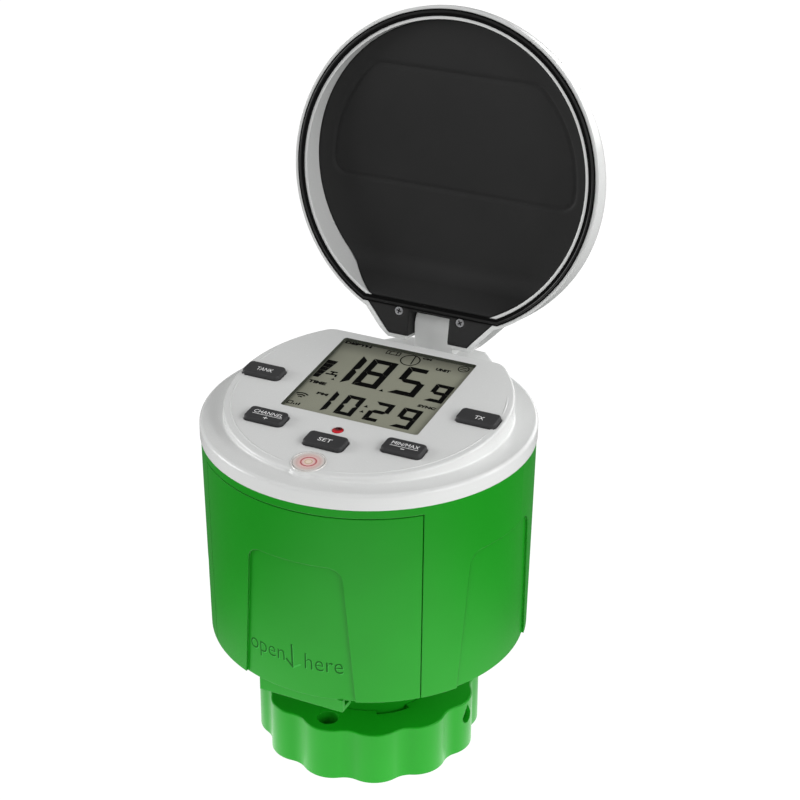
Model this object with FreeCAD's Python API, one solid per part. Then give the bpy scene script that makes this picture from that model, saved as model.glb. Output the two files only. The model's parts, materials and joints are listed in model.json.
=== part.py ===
import FreeCAD
import Part
import math
import os

# Tank level gauge, millimetres, +Z up.
# Origin at the centre of the base ring's underside, -Y is the front with the battery door.

# Bayonet between the neck and the base ring
neck_radius = 23.5
neck_gap = 0.3
lug_count = 3
lug_reach = 2.3
lug_low = 6.0
lug_height = 4.0
lug_high = lug_low + lug_height
lug_angle = 24.0
twist_range = 45.0
lug_play = 1.0

# Base ring: a lobed flange round the bayonet, screwed to the tank top
ring_height = 19.5
ring_edge_round = 0.6
groove_wall = 1.5
screw_count = 3
screw_hole_radius = 2.25
screw_head_radius = 3.6
screw_floor = 5.0
screw_circle = neck_radius + lug_reach + neck_gap + groove_wall + screw_head_radius
head_wall = 1.2
valley_reach = screw_circle + screw_head_radius + head_wall
lobe_height = 2.3
lobe_reach = valley_reach + lobe_height
lobe_round = 11.0
lobe_count = 12
gasket_inset = 1.5
gasket_width = 3.0
gasket_depth = 1.6
gasket_inner = neck_radius + gasket_inset
gasket_outer = gasket_inner + gasket_width

# Mark on the base ring's side that shows the locked position
mark_angle = 88.0
mark_radius = 2.5
mark_low = 10.6
mark_top_gap = 1.5
mark_high = ring_height - mark_top_gap
mark_depth = 2.2

# Sensor neck and transducer
neck_wall = 3.2
neck_low = 1.5
neck_lip = 1.5
neck_lip_height = 2.3
collar_width = 3.5
collar_reach = neck_radius + collar_width
collar_thick = 2.5
neck_gasket_thick = 1.0
nut_thick = 5.0
nut_width = 4.9
nut_reach = neck_radius + nut_width
nut_flats = 8
transducer_play = 0.3
transducer_face_drop = 1.8
transducer_height = 15.0
transducer_gasket_thick = 1.2
retainer_height = 3.0
retainer_width = 8.3
retainer_hole = neck_radius - neck_wall - retainer_width
lead_radius = 1.75

# Round outline that the body, the top housing and the lid share
housing_radius = 55.4
body_step = 0.3
body_taper = 1.1
lid_overhang = 0.1
body_rim_radius = housing_radius - body_step
body_foot_radius = body_rim_radius - body_taper
lid_radius = housing_radius + lid_overhang

# Battery cells and their tray
cell_radius = 7.25
cell_length = 49.4
cell_nub_radius = 2.75
cell_nub = 1.1
cell_count = 4
cell_spacing = 0.7
cell_pitch = 2 * cell_radius + cell_spacing
cell_play = 0.35
tray_wall = 2.0
tray_gap = 0.3
tray_depth = 13.0
tray_raise = 8.0
tray_headroom = 4.5
tray_half = cell_pitch * cell_count / 2 + cell_play
tray_outer = tray_half + tray_wall
contact_height = 1.0
contact_reach = 4.5
contact_tip = 2.5
stack_height = 2 * contact_height + cell_length + cell_nub

# Body shell
body_low = 44.0
body_wall = 2.4
body_floor = 2.5
body_height = body_floor + tray_raise + 2 * tray_wall + stack_height + tray_headroom
rim_flange_width = 5.6
rim_flange_inner = body_rim_radius - rim_flange_width
rim_flange_thick = 2.5
column_inset = 6.9
column_circle = body_rim_radius - column_inset
column_radius = 4.8
column_angles = (-125.0, -62.0, 62.0, 125.0)
housing_screw_radius = 1.5
housing_screw_head = 2.8
housing_screw_head_height = 2.2
housing_screw_seat = 12.0
housing_screw_bite = 3.6
screw_play = 0.2

# Grip pads, shallow recesses that widen towards the foot
pad_drop = 21.5
pad_top_half = 16.4
pad_flare = 3.6
pad_foot_half = pad_top_half + pad_flare
pad_depth = 0.8
pad_corner = 5.0
pad_angles = (-80.0, 80.0, 180.0)

# Battery door, as wide as the tray needs, and its finger tab
door_drop = 3.0
seam = 0.35
jamb_angle = 2.35
jamb_thick = 2.0
jamb_inner = body_foot_radius - body_wall - seam - jamb_thick
door_half_angle = math.degrees(math.asin((tray_outer + tray_gap) / jamb_inner)) + jamb_angle
tab_left = 14.4
tab_right = 16.0
tab_inset = 2.7
tab_front = body_foot_radius - tab_inset
tab_drop = 4.5
tab_thick = 1.6
tab_return = 6.0
hook_angle = 22.0
hook_half = 5.0
hook_reach = 4.0
hook_thick = 1.6

# Hinge
hinge_inset = 1.4
hinge_back = housing_radius - hinge_inset
hinge_rise = 15.3
open_angle = 100.6
arm_half = 7.1
arm_radius = 4.4
arm_gap = 0.55
pin_radius = 1.5
pin_play = 0.05
ear_reach = 5.8
ear_root = 6.5
ear_back_half = 15.4
ear_flare_angle = 41.3
ear_back = hinge_back + ear_reach
web_root = 14.0
pin_end_gap = 0.9
pin_half = ear_back_half - pin_end_gap
lug_edge = 0.3

# Top housing: ring and sloping platform
ring_rise = 5.4
ring_wall = 5.6
ring_inner = housing_radius - ring_wall
ring_round = 1.2
ledge_thick = 2.2
seal_inset = 0.4
seal_band = 1.8
seal_inner = ring_inner + seal_inset
seal_outer = seal_inner + seal_band
seal_height = 1.6
ledge_width = 7.9
shelf_depth = 18.7
platform_radius = housing_radius - ledge_width
platform_back = hinge_back - shelf_depth
platform_tilt = 5.6
slope = math.tan(math.radians(platform_tilt))
platform_step = 1.44
platform_rise = ring_rise + platform_step + platform_radius * slope
platform_wall = 2.2
platform_skin = 1.6
platform_round = 0.7
platform_corner = 6.0
boss_radius = 3.6

# Display stack, measured down from the platform's face
window_width = 49.4
window_back_margin = 3.95
window_front_margin = 31.95
window_back = platform_back - window_back_margin
window_front = window_front_margin - platform_radius
window_length = window_back - window_front
window_centre = (window_back + window_front) / 2
window_corner = 1.0
pane_gap = 0.15
pane_sink = 0.2
pane_thick = 1.2
lcd_thick = 2.0
frame_margin = 0.2
frame_wall = 1.6
board_depth = 9.0
board_thick = 1.6
board_gap = 2.0
board_back_gap = 1.1
board_radius = platform_radius - platform_wall - board_gap
board_back = platform_back - platform_wall - board_back_gap
board_post_radius = 3.0
board_post_inset = 9.7
board_post_angles = (-118.2, -64.8, 64.8, 118.2)
board_screw_radius = 1.2
board_screw_head = 2.6
board_screw_head_height = 1.8
board_screw_bite = 5.0

# Buttons
button_width = 13.8
button_length = 7.0
button_corner = 1.6
button_rise = 1.6
button_edge = 0.7
button_gap = 0.3
button_travel = 0.9
button_flange = 0.9
button_flange_thick = 1.0
button_seat = 0.3
button_stem = 1.5
press_gap = 0.1
switch_size = 6.0
switch_height = 2.0
plunger_radius = 1.7
plunger_height = 0.8
side_button_inset = 8.5
corner_button_inset = 12.64
corner_button_angle = 44.65
set_button_inset = 16.9

# Indicator lamp and bubble vial
lamp_inset = 25.1
lamp_place = (0.0, lamp_inset - platform_radius)
lamp_radius = 1.8
lamp_gap = 0.15
lamp_dome = 0.5
vial_inset = 5.3
vial_place = (0.0, vial_inset - platform_radius)
vial_radius = 5.1
vial_gap = 0.1
vial_depth = 3.6
vial_rise = 0.5
vial_crown = 0.5
vial_bulge_wall = 1.2
vial_cup_wall = 0.8
vial_cup_floor = 1.6

# Lid, sized in its closed place
lid_gap = 0.6
lid_skin = 2.3
lid_round = 5.5
lid_wall = 4.5
lid_inner = lid_radius - lid_wall
lip_width = 1.1
seal_width = 2.35
lid_seal_depth = 1.5
lid_seal_proud = 0.3
chord_inset = 5.8
chord_back = hinge_back - chord_inset
notch_play = 1.5
notch_half = arm_half + notch_play
notch_front = hinge_back - arm_radius - arm_gap
chord_web = 2.35
chord_wall = notch_front - chord_web
relief_play = 0.25
ear_relief = hinge_rise - ring_rise - lid_gap + relief_play
crown_edge = 0.5
ear_crown = ear_reach + crown_edge
ear_wall = 1.6
plate_inset = 0.3
plate_thick = 2.0
cheek_thick = 1.0
cheek_depth = 7.0
liner_thick = 1.7
liner_gap = 0.1
liner_headroom = 1.2
liner_rise = platform_rise + button_rise + liner_headroom
lid_rise = liner_rise + liner_thick + liner_gap + lid_skin
liner_fold_run = 8.2
liner_chord_wall = 1.5
liner_chord = chord_wall - liner_chord_wall
liner_fold = liner_chord - liner_fold_run
panel_inset = 5.5
panel_front_inset = 17.0
panel_back_inset = 29.0
panel_radius = lid_inner - panel_inset
panel_front = panel_front_inset - lid_inner
panel_back = liner_fold - panel_back_inset
panel_depth = 0.6
panel_corner = 6.0
lid_screw_side = 2.9
lid_screw_inset = 4.2
lid_screw_place = (notch_half + lid_screw_side, hinge_back - lid_screw_inset)
lid_screw_radius = 1.2
lid_screw_head = 1.45
lid_screw_sink = 1.0
lid_screw_length = 6.5
cross_width = 0.6
cross_length = 2.2
cross_depth = 0.7

# Levels that follow from the sizes above, the reach of a cutting block, how far joined shapes run
# into each other, and the limits for picking edges
line_z = body_low + body_height
ledge_z = line_z + ring_rise
hinge_z = line_z + hinge_rise
rim_z = ledge_z + lid_gap
floor_z = body_low + body_floor
door_top = line_z - door_drop
far = 200.0
weld = 0.5
near = 0.01
steep_angle = 25.0
steep = math.cos(math.radians(steep_angle))
front_angle = -90.0
up = FreeCAD.Vector(0, 0, 1)
across = FreeCAD.Vector(1, 0, 0)


def vec(x, y, z):
    return FreeCAD.Vector(x, y, z)


def cylinder(radius, low, high, x=0.0, y=0.0):
    return Part.makeCylinder(radius, high - low, vec(x, y, low))


def tube(outer, inner, low, high):
    return cylinder(outer, low, high).cut(cylinder(inner, low, high))


def box(x0, x1, y0, y1, z0, z1):
    return Part.makeBox(x1 - x0, y1 - y0, z1 - z0, vec(x0, y0, z0))


def behind(y, low):
    # Everything behind a plane across the part, from a level upwards
    return box(-far, far, y, far, low, low + far)


def polygon(points):
    return Part.Face(Part.makePolygon(points + points[:1]))


def plate(points, low, high):
    # Flat outline in plan, raised from low to high
    return polygon([vec(x, y, low) for x, y in points]).extrude(vec(0, 0, high - low))


def side_profile(edges, half_width):
    # Closed outline in the Y-Z plane, carried across both sides of the middle
    face = Part.Face(Part.Wire(edges))
    face.translate(vec(-half_width, 0, 0))
    return face.extrude(vec(2 * half_width, 0, 0))


def line_yz(a, b):
    return Part.makeLine(vec(0, *a), vec(0, *b))


def arc_yz(a, middle, b):
    return Part.Arc(vec(0, *a), vec(0, *middle), vec(0, *b)).toShape()


def wedge(start, end, low, high, reach=far):
    # Sector between two angles, counted from the front towards +X
    sector = Part.makeCylinder(reach, high - low, vec(0, 0, low), up, end - start)
    return turned(sector, start + front_angle)


def turned(shape, angle):
    copy = shape.copy()
    copy.rotate(vec(0, 0, 0), up, angle)
    return copy


def at(shape, place):
    copy = shape.copy()
    copy.translate(vec(place[0], place[1], 0))
    return copy


def polar(radius, angle):
    # Plan point at an angle counted from the front towards +X
    turn = math.radians(angle)
    return radius * math.sin(turn), -radius * math.cos(turn)


def upright_edges(shape):
    return [e for e in shape.Edges if abs(e.tangentAt(e.FirstParameter).z) > steep]


def edges_above(shape, level):
    return [e for e in shape.Edges if e.BoundBox.ZMin > level - near]


def rounded_block(width, length, corner, low, high):
    block = box(-width / 2, width / 2, -length / 2, length / 2, low, high)
    return block.makeFillet(corner, upright_edges(block))


def dome(radius, low, rise):
    # Shallow cap of a ball on a round foot
    ball = (radius ** 2 + rise ** 2) / (2 * rise)
    return Part.makeSphere(ball, vec(0, 0, low + rise - ball)).common(cylinder(radius, low, low + rise))


def on_platform(shape):
    # From the platform's own plane to its sloping place
    placed = shape.copy()
    placed.rotate(vec(0, 0, 0), across, platform_tilt)
    placed.translate(vec(0, 0, line_z + platform_rise))
    return placed


def below_slope(rise):
    # Everything under a plane that slopes with the platform
    slab = box(-far, far, -far, far, -far, 0)
    slab.rotate(vec(0, 0, 0), across, platform_tilt)
    slab.translate(vec(0, 0, line_z + rise))
    return slab


def sloping_rim(shape):
    # Outer edges of the face that slopes with the platform
    lean = math.sin(math.radians(platform_tilt)) / 2
    normals = [(face, face.normalAt(0, 0)) for face in shape.Faces]
    faces = [face for face, normal in normals if abs(normal.z) > steep and abs(normal.y) > lean]
    return max(faces, key=lambda face: face.CenterOfMass.z).OuterWire.Edges


def opened(shape):
    # From the lid's closed place to where it rests open
    swung = shape.copy()
    swung.rotate(vec(0, hinge_back, hinge_z), across, -open_angle)
    return swung


def body_radius(z):
    return body_foot_radius + (body_rim_radius - body_foot_radius) * (z - body_low) / body_height


def body_cone(inset, low, high):
    return Part.makeCone(body_radius(low) - inset, body_radius(high) - inset, high - low, vec(0, 0, low))


def cone_wall(outset, inset, low, high):
    return body_cone(outset, low, high).cut(body_cone(inset, low, high))


def joined(shape, others):
    return shape.fuse(others).removeSplitter()


def save(name, shape):
    shape.exportStep(os.path.join("parts", name + ".step"))


# Base ring

def lobed_outline():
    # Lobe arcs and valley arcs that meet in tangents, worked out from the two reaches
    pitch = 2 * math.pi / lobe_count
    centre = lobe_reach - lobe_round
    lean = math.cos(pitch / 2)
    spread = centre ** 2 + valley_reach ** 2 - 2 * centre * valley_reach * lean - lobe_round ** 2
    valley_round = spread / (2 * (lobe_round - valley_reach + centre * lean))
    share = lobe_round / (lobe_round + valley_round)

    def spot(radius, turn):
        return vec(radius * math.sin(turn), -radius * math.cos(turn), 0)

    def meeting(lobe_turn, valley_turn):
        start = spot(centre, lobe_turn)
        return start + (spot(valley_reach + valley_round, valley_turn) - start) * share

    edges = []
    for index in range(lobe_count):
        turn = index * pitch
        valley = turn + pitch / 2
        first = meeting(turn, turn - pitch / 2)
        second = meeting(turn, valley)
        third = meeting(turn + pitch, valley)
        edges.append(Part.Arc(first, spot(lobe_reach, turn), second).toShape())
        edges.append(Part.Arc(second, spot(valley_reach, valley), third).toShape())
    return Part.Wire(edges)


def lock_mark():
    # Drop-shaped recess in the ring's side: a round foot with a point above it
    centre = mark_low + mark_radius
    side = math.acos(mark_radius / (mark_high - centre))
    half = mark_radius * math.sin(side)
    level = centre + mark_radius * math.cos(side)
    depth = mark_depth - lobe_reach
    left, right = vec(-half, depth, level), vec(half, depth, level)
    tip, foot = vec(0, depth, mark_high), vec(0, depth, mark_low)
    edges = [Part.Arc(left, foot, right).toShape(), Part.makeLine(right, tip), Part.makeLine(tip, left)]
    return turned(Part.Face(Part.Wire(edges)).extrude(vec(0, -2 * mark_depth, 0)), mark_angle)


def base_ring():
    ring = Part.Face(lobed_outline()).extrude(vec(0, 0, ring_height))
    ring = ring.makeFillet(ring_edge_round, edges_above(ring, ring_height))
    groove = neck_radius + lug_reach + neck_gap
    cuts = [cylinder(neck_radius + neck_gap, 0, ring_height), base_gasket(), lock_mark()]
    for index in range(screw_count):
        place = polar(screw_circle, index * 360.0 / screw_count)
        cuts.append(cylinder(screw_hole_radius, 0, ring_height, *place))
        cuts.append(cylinder(screw_head_radius, screw_floor, ring_height, *place))
    width = lug_angle + 2 * lug_play
    for index in range(lug_count):
        start = index * 360.0 / lug_count - width / 2
        entry = start + twist_range
        cuts.append(wedge(start, entry + width, lug_low - neck_gap, lug_high + neck_gap, groove))
        cuts.append(wedge(entry, entry + width, lug_low, ring_height, groove))
    return ring.cut(cuts)


def base_gasket():
    return tube(gasket_outer, gasket_inner, 0, gasket_depth)


# Sensor neck with its transducer

def neck_inner():
    return neck_radius - neck_wall


def sensor_neck():
    core = neck_inner() + weld
    seat = body_low - neck_gasket_thick
    neck = tube(neck_radius, neck_inner(), neck_low, floor_z + nut_thick)
    extras = [tube(core, neck_inner() - neck_lip, neck_low, transducer_seat())]
    extras.append(tube(collar_reach, core, seat - collar_thick, seat))
    for index in range(lug_count):
        middle = index * 360.0 / lug_count
        half = lug_angle / 2
        lug = wedge(middle - half, middle + half, lug_low, lug_high, neck_radius + lug_reach)
        extras.append(lug.cut(cylinder(core, lug_low, lug_high)))
    return joined(neck, extras)


def neck_gasket():
    return tube(collar_reach, neck_radius, body_low - neck_gasket_thick, body_low)


def neck_nut():
    corners = [polar(nut_reach, 360.0 * index / nut_flats) for index in range(nut_flats)]
    top = floor_z + nut_thick
    return plate(corners, floor_z, top).cut(cylinder(neck_radius, floor_z, top))


def transducer_seat():
    return neck_low + neck_lip_height


def transducer_top():
    return transducer_seat() + transducer_gasket_thick + transducer_height


def transducer():
    low = transducer_seat() + transducer_gasket_thick
    face = neck_inner() - neck_lip - transducer_play
    can = cylinder(neck_inner() - transducer_play, low, transducer_top())
    snout = cylinder(face, low - transducer_face_drop, low)
    boss = cylinder(retainer_hole - transducer_play, transducer_top(), transducer_top() + retainer_height)
    return joined(can, [snout, boss])


def transducer_gasket():
    low = transducer_seat()
    return tube(neck_inner(), neck_inner() - neck_lip, low, low + transducer_gasket_thick)


def transducer_retainer():
    return tube(neck_inner(), retainer_hole, transducer_top(), transducer_top() + retainer_height)


def sensor_lead():
    reach = (board_depth + board_thick) / math.cos(math.radians(platform_tilt))
    lead = cylinder(lead_radius, transducer_top() + retainer_height, line_z + platform_rise)
    return lead.common(below_slope(platform_rise - reach))


# Body shell and battery door

def pad_recess():
    # Trapezoid with round top corners, sunk a little below the body's face
    top = line_z - pad_drop
    half, wide = pad_top_half, pad_foot_half
    prism = polygon([vec(-half, 0, top), vec(half, 0, top), vec(wide, 0, body_low), vec(-wide, 0, body_low)])
    prism = prism.extrude(vec(0, -far, 0))
    deep = [e for e in edges_above(prism, top) if abs(e.tangentAt(e.FirstParameter).y) > steep]
    return prism.makeFillet(pad_corner, deep).cut(body_cone(pad_depth, body_low, line_z))


def tab_back():
    return tab_thick - tab_front


def body_shell():
    flange_low = line_z - rim_flange_thick
    hidden = body_wall / 2
    shell = body_cone(0, body_low, line_z).cut(body_cone(body_wall, floor_z, line_z))
    extras = [body_cone(hidden, flange_low, line_z).cut(cylinder(rim_flange_inner, flange_low, line_z))]
    jamb = cone_wall(hidden, body_wall + seam + jamb_thick, floor_z, flange_low)
    for edge in (-door_half_angle, door_half_angle):
        extras.append(jamb.common(wedge(edge - jamb_angle, edge + jamb_angle, floor_z, flange_low)))
    places = [polar(column_circle, angle) for angle in column_angles]
    extras += [cylinder(column_radius, floor_z, line_z, *place) for place in places]
    opening = wedge(-door_half_angle, door_half_angle, body_low, door_top)
    cuts = [opening.cut(body_cone(body_wall + seam, body_low, door_top))]
    cuts.append(cylinder(neck_radius, body_low, floor_z))
    cuts.append(box(-tab_left - seam, tab_right + seam, -far, tab_back() + seam, body_low, floor_z))
    seat = line_z - housing_screw_seat
    for place in places:
        cuts.append(cylinder(housing_screw_radius + screw_play, seat, line_z, *place))
        cuts.append(cylinder(housing_screw_head + screw_play, body_low, seat, *place))
    cuts += [turned(pad_recess(), angle) for angle in pad_angles]
    return joined(shell, extras).cut(cuts).removeSplitter()


def finger_tab():
    # Straight tab that hangs below the body, with a foot turned back under it
    low = body_low - tab_drop
    root = box(-tab_left, tab_right, -far, tab_back(), body_low, floor_z)
    root = root.common(body_cone(body_wall / 2, body_low, floor_z))
    drop = box(-tab_left, tab_right, -tab_front, tab_back(), low, body_low)
    foot = box(-tab_left, tab_right, -tab_front, tab_return - tab_front, low, low + tab_thick)
    return joined(root, [drop, foot])


def battery_door():
    half = door_half_angle - math.degrees(seam / body_foot_radius)
    top = door_top - seam
    hook_low = top - hook_thick
    door = cone_wall(0, body_wall, body_low, top).common(wedge(-half, half, body_low, top)).cut(pad_recess())
    hook = cone_wall(body_wall / 2, body_wall + hook_reach, hook_low, top)
    extras = [finger_tab()]
    for middle in (-hook_angle, hook_angle):
        extras.append(hook.common(wedge(middle - hook_half, middle + hook_half, hook_low, top)))
    return joined(door, extras)


# Battery tray, cells and contacts

def tray_front():
    # The tray's front corners stand clear of the door's inner face
    return math.sqrt((body_foot_radius - body_wall - tray_gap) ** 2 - tray_outer ** 2)


def tray_back():
    return tray_front() - tray_depth


def cell_places():
    first = -cell_pitch * (cell_count - 1) / 2
    y = -(tray_back() + tray_wall + cell_play + cell_radius)
    return [(first + index * cell_pitch, y) for index in range(cell_count)]


def tray_inside():
    return floor_z + tray_raise + tray_wall


def tray_ceiling():
    return tray_inside() + stack_height


def battery_tray():
    half, outer = tray_half, tray_outer
    front, back = -tray_front(), -tray_back()
    low = tray_inside() - tray_wall
    tray = box(-outer, outer, front, back, low, tray_ceiling() + tray_wall)
    tray = tray.cut(box(-half, half, front, back - tray_wall, tray_inside(), tray_ceiling()))
    feet = [box(x0, x1, front, back, floor_z, low) for x0, x1 in ((-outer, -half), (half, outer))]
    return joined(tray, feet)


def alternating(shape):
    # One copy at each cell, every second one turned over
    middle = (tray_inside() + tray_ceiling()) / 2
    over = shape.copy()
    over.rotate(vec(0, 0, middle), across, 180)
    return [at((shape, over)[index % 2], place) for index, place in enumerate(cell_places())]


def battery_cells():
    low = tray_inside() + contact_height
    high = low + cell_length
    cell = joined(cylinder(cell_radius, low, high), [cylinder(cell_nub_radius, high, high + cell_nub)])
    return Part.makeCompound(alternating(cell))


def battery_contacts():
    spring = Part.makeCone(contact_reach, contact_tip, contact_height, vec(0, 0, tray_inside()))
    stud = cylinder(contact_tip, tray_ceiling() - contact_height, tray_ceiling())
    return Part.makeCompound(alternating(spring) + alternating(stud))


# Top housing

def platform_block(radius, back, rise, low):
    block = cylinder(radius, low, line_z + 2 * hinge_rise).cut(behind(back, low))
    return block.common(below_slope(rise))


def round_vial(wall, low, high):
    return cylinder(vial_radius + vial_gap + wall, low, high, *vial_place)


def rounded_top(block):
    return block.makeFillet(platform_round, sloping_rim(block))


def platform():
    foot = ledge_z - ledge_thick
    block = platform_block(platform_radius, platform_back, platform_rise, foot)
    corners = [e for e in upright_edges(block) if e.BoundBox.YMin > platform_back - near]
    block = block.makeFillet(platform_corner, corners)
    bulge = round_vial(vial_bulge_wall, foot, line_z + platform_rise).common(below_slope(platform_rise))
    return joined(rounded_top(block), [rounded_top(bulge)])


def hinge_arm():
    foot = ledge_z - ring_round
    front, back = hinge_back - arm_radius, hinge_back + arm_radius
    edges = [line_yz((front, foot), (front, hinge_z))]
    edges.append(arc_yz((front, hinge_z), (hinge_back, hinge_z + arm_radius), (back, hinge_z)))
    edges.append(line_yz((back, hinge_z), (back, foot)))
    edges.append(line_yz((back, foot), (front, foot)))
    return side_profile(edges, arm_half)


def pin(radius, half):
    return Part.makeCylinder(radius, 2 * half, vec(-half, hinge_back, hinge_z), across)


def lug_and_ring():
    lug = plate(ear_plan(-lug_edge, web_root), line_z, ledge_z)
    ring = joined(cylinder(housing_radius, line_z, ledge_z), [lug])
    ring = ring.makeFillet(ring_round, edges_above(ring, ledge_z))
    return ring.cut(cylinder(ring_inner, line_z, ledge_z - ledge_thick))


def button_places():
    side = platform_radius - side_button_inset
    circle = platform_radius - corner_button_inset
    places = {"mode_button": (-side, 0.0), "send_button": (side, 0.0)}
    places["plus_button"] = polar(circle, -corner_button_angle)
    places["minus_button"] = polar(circle, corner_button_angle)
    places["set_button"] = (0.0, set_button_inset - platform_radius)
    return places


def board_posts():
    return [polar(platform_radius - board_post_inset, angle) for angle in board_post_angles]


def button_openings():
    # Hole for the cap and, under the skin, room for its flange
    width, length = button_width + 2 * button_gap, button_length + 2 * button_gap
    hole = rounded_block(width, length, button_corner + button_gap, -board_depth, board_depth)
    room = rounded_block(width, length + 2 * button_flange, button_corner, -board_depth, -platform_skin)
    both = hole.fuse(room)
    return [at(both, place) for place in button_places().values()]


def top_housing():
    inner = platform_radius - platform_wall
    hollow = platform_block(inner, platform_back - platform_wall, platform_rise - platform_skin, line_z)
    shape = joined(lug_and_ring().cut(hollow), [platform().cut(hollow), hinge_arm()])
    places = [polar(column_circle, angle) for angle in column_angles]
    bosses = [cylinder(boss_radius, line_z, ledge_z - ledge_thick / 2, *place) for place in places]
    hung = [cylinder(board_post_radius, -board_depth, -platform_skin / 2, *place) for place in board_posts()]
    hung.append(round_vial(vial_cup_wall, -vial_depth - vial_cup_floor, -platform_skin / 2))
    shape = joined(shape, bosses + [on_platform(post) for post in hung])
    window = rounded_block(window_width, window_length, window_corner, -board_depth, board_depth)
    cuts = button_openings() + [at(window, (0, window_centre))]
    cuts.append(cylinder(lamp_radius + lamp_gap, -board_depth, board_depth, *lamp_place))
    cuts.append(cylinder(vial_radius + vial_gap, -vial_depth, board_depth, *vial_place))
    thread_top = board_screw_bite - board_depth
    cuts += [cylinder(board_screw_radius, -board_depth, thread_top, *place) for place in board_posts()]
    cuts = [on_platform(cut) for cut in cuts] + [housing_seal(), pin(pin_radius + pin_play, far)]
    cuts += [cylinder(housing_screw_radius, line_z, line_z + housing_screw_bite, *place) for place in places]
    return shape.cut(cuts).removeSplitter()


def housing_seal():
    return tube(seal_outer, seal_inner, line_z, line_z + seal_height)


def screw(head_radius, head_height, radius, seat, tip):
    # Round head below its seat and a plain shank up to the tip
    return joined(cylinder(head_radius, seat - head_height, seat), [cylinder(radius, seat, tip)])


def housing_screws():
    seat = line_z - housing_screw_seat
    tip = line_z + housing_screw_bite
    one = screw(housing_screw_head, housing_screw_head_height, housing_screw_radius, seat, tip)
    return Part.makeCompound([at(one, polar(column_circle, angle)) for angle in column_angles])


# Display stack under the platform's face

def display_layer(margin, low, high):
    width, length = window_width + 2 * margin, window_length + 2 * margin
    return on_platform(at(rounded_block(width, length, window_corner, low, high), (0, window_centre)))


def lcd_top():
    return -pane_sink - pane_thick


def display_window():
    return display_layer(-pane_gap, lcd_top(), -pane_sink)


def lcd_panel():
    return display_layer(-pane_gap, lcd_top() - lcd_thick, lcd_top())


def lcd_frame():
    top = lcd_top() - lcd_thick
    outer = display_layer(frame_margin, -board_depth, top)
    return outer.cut(display_layer(frame_margin - frame_wall, -board_depth, top))


def main_board():
    low = -board_depth - board_thick
    board = cylinder(board_radius, low, -board_depth).cut(behind(board_back, low))
    holes = [cylinder(board_screw_radius + screw_play, low, -board_depth, *place) for place in board_posts()]
    return on_platform(board.cut(holes))


def board_screws():
    seat = -board_depth - board_thick
    tip = board_screw_bite - board_depth
    one = screw(board_screw_head, board_screw_head_height, board_screw_radius, seat, tip)
    return Part.makeCompound([on_platform(at(one, place)) for place in board_posts()])


def switch_top():
    return -board_depth + switch_height + plunger_height


def tact_switches():
    half = switch_size / 2
    body_top = -board_depth + switch_height
    switch = box(-half, half, -half, half, -board_depth, body_top)
    switch = joined(switch, [cylinder(plunger_radius, body_top, switch_top())])
    return Part.makeCompound([on_platform(at(switch, place)) for place in button_places().values()])


def button(place):
    flange_top = -platform_skin - button_seat
    flange_low = flange_top - button_flange_thick
    cap = rounded_block(button_width, button_length, button_corner, flange_top, button_rise)
    cap = cap.makeFillet(button_edge, edges_above(cap, button_rise))
    length = button_length + 2 * button_flange
    flange = rounded_block(button_width, length, button_corner, flange_low, flange_top)
    stem = cylinder(button_stem, switch_top() + button_travel + press_gap, flange_low)
    return on_platform(at(joined(cap, [flange, stem]), place))


def status_lamp():
    body = cylinder(lamp_radius, -board_depth, 0)
    return on_platform(at(joined(body, [dome(lamp_radius, 0, lamp_dome)]), lamp_place))


def level_vial():
    body = cylinder(vial_radius, -vial_depth, vial_rise)
    return on_platform(at(joined(body, [dome(vial_radius, vial_rise, vial_crown)]), vial_place))


# Lid, drawn closed and then swung to its rest

def d_block(radius, back, low, high):
    # Round block with a straight side at the back
    return cylinder(radius, low, high).cut(behind(back, low))


def seal_ring(low):
    high = rim_z + lid_seal_depth
    outer = lid_radius - lip_width
    inside = d_block(outer - seal_width, chord_back - seal_width, low, high)
    return d_block(outer, chord_back, low, high).cut(inside)


def ear_profile():
    # Side outline of the hinge ears: relieved below and crowned above round the pin
    drop = hinge_z - rim_z
    reach = ear_back - hinge_back
    flat = math.sqrt(ear_relief ** 2 - drop ** 2)
    low = math.sqrt(ear_relief ** 2 - reach ** 2)
    high = math.sqrt(ear_crown ** 2 - reach ** 2)

    def on_round(radius, turn):
        return hinge_back + radius * math.cos(turn), hinge_z + radius * math.sin(turn)

    low_turn = -(math.atan2(drop, flat) + math.atan2(low, reach)) / 2
    high_turn = (math.atan2(high, reach) + math.pi / 2) / 2
    front = hinge_back - web_root
    corners = [(front, rim_z), (hinge_back + flat, rim_z), (ear_back, hinge_z - low)]
    corners.append((ear_back, hinge_z + high))
    corners += [(y, hinge_z + ear_crown) for y in (hinge_back, front)]
    edges = [line_yz(corners[0], corners[1])]
    edges.append(arc_yz(corners[1], on_round(ear_relief, low_turn), corners[2]))
    edges.append(line_yz(corners[2], corners[3]))
    edges.append(arc_yz(corners[3], on_round(ear_crown, high_turn), corners[4]))
    edges.append(line_yz(corners[4], corners[5]))
    edges.append(line_yz(corners[5], corners[0]))
    return edges


def ear_plan(inset, root):
    # Plan outline of both ears with the hinge notch still closed, drawn in by the inset. The root is
    # how far it runs in front of the hinge.
    lean = math.tan(math.radians(ear_flare_angle))
    shift = inset * math.hypot(1, lean)
    front, back = hinge_back - root, ear_back - inset
    wide, narrow = [ear_back_half + (ear_back - y) * lean - shift for y in (front, back)]
    return [(-wide, front), (wide, front), (narrow, back), (-narrow, back)]


def notch(half):
    return box(-half, half, notch_front, far, line_z, line_z + far)


def plate_top():
    return rim_z + plate_inset + plate_thick


def lid_screw_places():
    x, y = lid_screw_place
    return (-x, y), (x, y)


def lid_screw_seat():
    return rim_z + plate_inset + lid_screw_sink


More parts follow.
